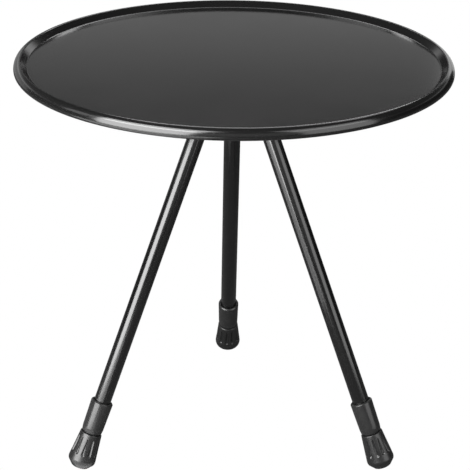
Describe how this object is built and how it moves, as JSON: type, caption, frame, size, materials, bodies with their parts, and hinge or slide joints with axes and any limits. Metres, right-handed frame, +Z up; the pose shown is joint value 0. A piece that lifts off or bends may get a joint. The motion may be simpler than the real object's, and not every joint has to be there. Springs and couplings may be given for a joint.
{
  "type": "folding camping table",
  "caption": "Low round camping table: a shallow rimmed metal tray screwed to a folding tripod of telescopic legs with rubber feet.",
  "frame": {"origin": "on the ground under the middle of the tray", "axes": "+Z up through the tray's middle, -Y towards the side between the two front legs, +X to the right of someone facing that side"},
  "size_m": [0.4, 0.4, 0.385],
  "materials": {
    "tray_coat": "satin dark grey powder coat on pressed steel",
    "plate_steel": "satin black powder coat",
    "black_casting": "satin black coated die casting",
    "black_tube": "gloss black anodised",
    "bare_tube": "satin clear anodised",
    "grey_plastic": "satin moulded",
    "bush_plastic": "matt moulded",
    "foot_rubber": "matt moulded rubber",
    "zinc_steel": "zinc plated"
  },
  "bodies": {
    "hub_body": {"hub": "black_casting", "hinge_bolt_front_left": "zinc_steel", "hinge_bolt_front_right": "zinc_steel", "hinge_bolt_back": "zinc_steel", "hinge_nut_front_left": "zinc_steel", "hinge_nut_front_right": "zinc_steel", "hinge_nut_back": "zinc_steel"},
    "tray_body": {"tray_top": "tray_coat", "mounting_plate": "plate_steel", "threaded_insert": "zinc_steel", "weld_stud_1": "zinc_steel", "weld_stud_2": "zinc_steel", "weld_stud_3": "zinc_steel", "weld_stud_4": "zinc_steel", "stud_nut_1": "zinc_steel", "stud_nut_2": "zinc_steel", "stud_nut_3": "zinc_steel", "stud_nut_4": "zinc_steel"},
    "clamp_body": {"clamp_screw": "zinc_steel", "screw_washer": "zinc_steel", "screw_clip": "zinc_steel", "clamp_knob": "grey_plastic"},
    "leg_front_left": {"knuckle_front_left": "black_casting", "rivet_front_left": "zinc_steel", "outer_tube_front_left": "black_tube", "lock_sleeve_front_left": "grey_plastic", "lock_jaw_front_left": "bush_plastic"},
    "leg_front_right": {"knuckle_front_right": "black_casting", "rivet_front_right": "zinc_steel", "outer_tube_front_right": "black_tube", "lock_sleeve_front_right": "grey_plastic", "lock_jaw_front_right": "bush_plastic"},
    "leg_back": {"knuckle_back": "black_casting", "rivet_back": "zinc_steel", "outer_tube_back": "black_tube", "lock_sleeve_back": "grey_plastic", "lock_jaw_back": "bush_plastic"},
    "collar_front_left": {"lock_collar_front_left": "grey_plastic"},
    "collar_front_right": {"lock_collar_front_right": "grey_plastic"},
    "collar_back": {"lock_collar_back": "grey_plastic"},
    "inner_front_left": {"inner_tube_front_left": "bare_tube", "guide_bush_front_left": "bush_plastic", "foot_washer_front_left": "zinc_steel", "rubber_foot_front_left": "foot_rubber"},
    "inner_front_right": {"inner_tube_front_right": "bare_tube", "guide_bush_front_right": "bush_plastic", "foot_washer_front_right": "zinc_steel", "rubber_foot_front_right": "foot_rubber"},
    "inner_back": {"inner_tube_back": "bare_tube", "guide_bush_back": "bush_plastic", "foot_washer_back": "zinc_steel", "rubber_foot_back": "foot_rubber"}
  },
  "joints": [
    {"name": "knob_turn", "type": "hinge", "parent": "hub_body", "child": "clamp_body", "pos_m": [0, 0, 0.346], "axis": [0, 0, -1], "range_deg": [0, 2160]},
    {"name": "tray_lift", "type": "slide", "parent": "hub_body", "child": "tray_body", "axis": [0, 0, 1], "range_m": [0, 0.0075]},
    {"name": "fold_front_left", "type": "hinge", "parent": "hub_body", "child": "leg_front_left", "pos_m": [-0.01732, -0.01, 0.3616], "axis": [0.5, -0.866, 0], "range_deg": [0, 22.4]},
    {"name": "fold_front_right", "type": "hinge", "parent": "hub_body", "child": "leg_front_right", "pos_m": [0.01732, -0.01, 0.3616], "axis": [0.5, 0.866, 0], "range_deg": [0, 22.4]},
    {"name": "fold_back", "type": "hinge", "parent": "hub_body", "child": "leg_back", "pos_m": [0, 0.02, 0.3616], "axis": [-1, 0, 0], "range_deg": [0, 22.4]},
    {"name": "twist_front_left", "type": "hinge", "parent": "leg_front_left", "child": "collar_front_left", "pos_m": [-0.01732, -0.01, 0.3616], "axis": [-0.33, -0.1905, -0.9245], "range_deg": [0, 120]},
    {"name": "twist_front_right", "type": "hinge", "parent": "leg_front_right", "child": "collar_front_right", "pos_m": [0.01732, -0.01, 0.3616], "axis": [0.33, -0.1905, -0.9245], "range_deg": [0, 120]},
    {"name": "twist_back", "type": "hinge", "parent": "leg_back", "child": "collar_back", "pos_m": [0, 0.02, 0.3616], "axis": [0, 0.3811, -0.9245], "range_deg": [0, 120]},
    {"name": "extend_front_left", "type": "slide", "parent": "leg_front_left", "child": "inner_front_left", "axis": [-0.33, -0.1905, -0.9245], "range_m": [0, 0.24]},
    {"name": "extend_front_right", "type": "slide", "parent": "leg_front_right", "child": "inner_front_right", "axis": [0.33, -0.1905, -0.9245], "range_m": [0, 0.24]},
    {"name": "extend_back", "type": "slide", "parent": "leg_back", "child": "inner_back", "axis": [0, 0.3811, -0.9245], "range_m": [0, 0.24]}
  ],
  "couplings": [
    {"joint": "knob_turn", "follows": "tray_lift", "rad_per_m": 5026.5}
  ]
}
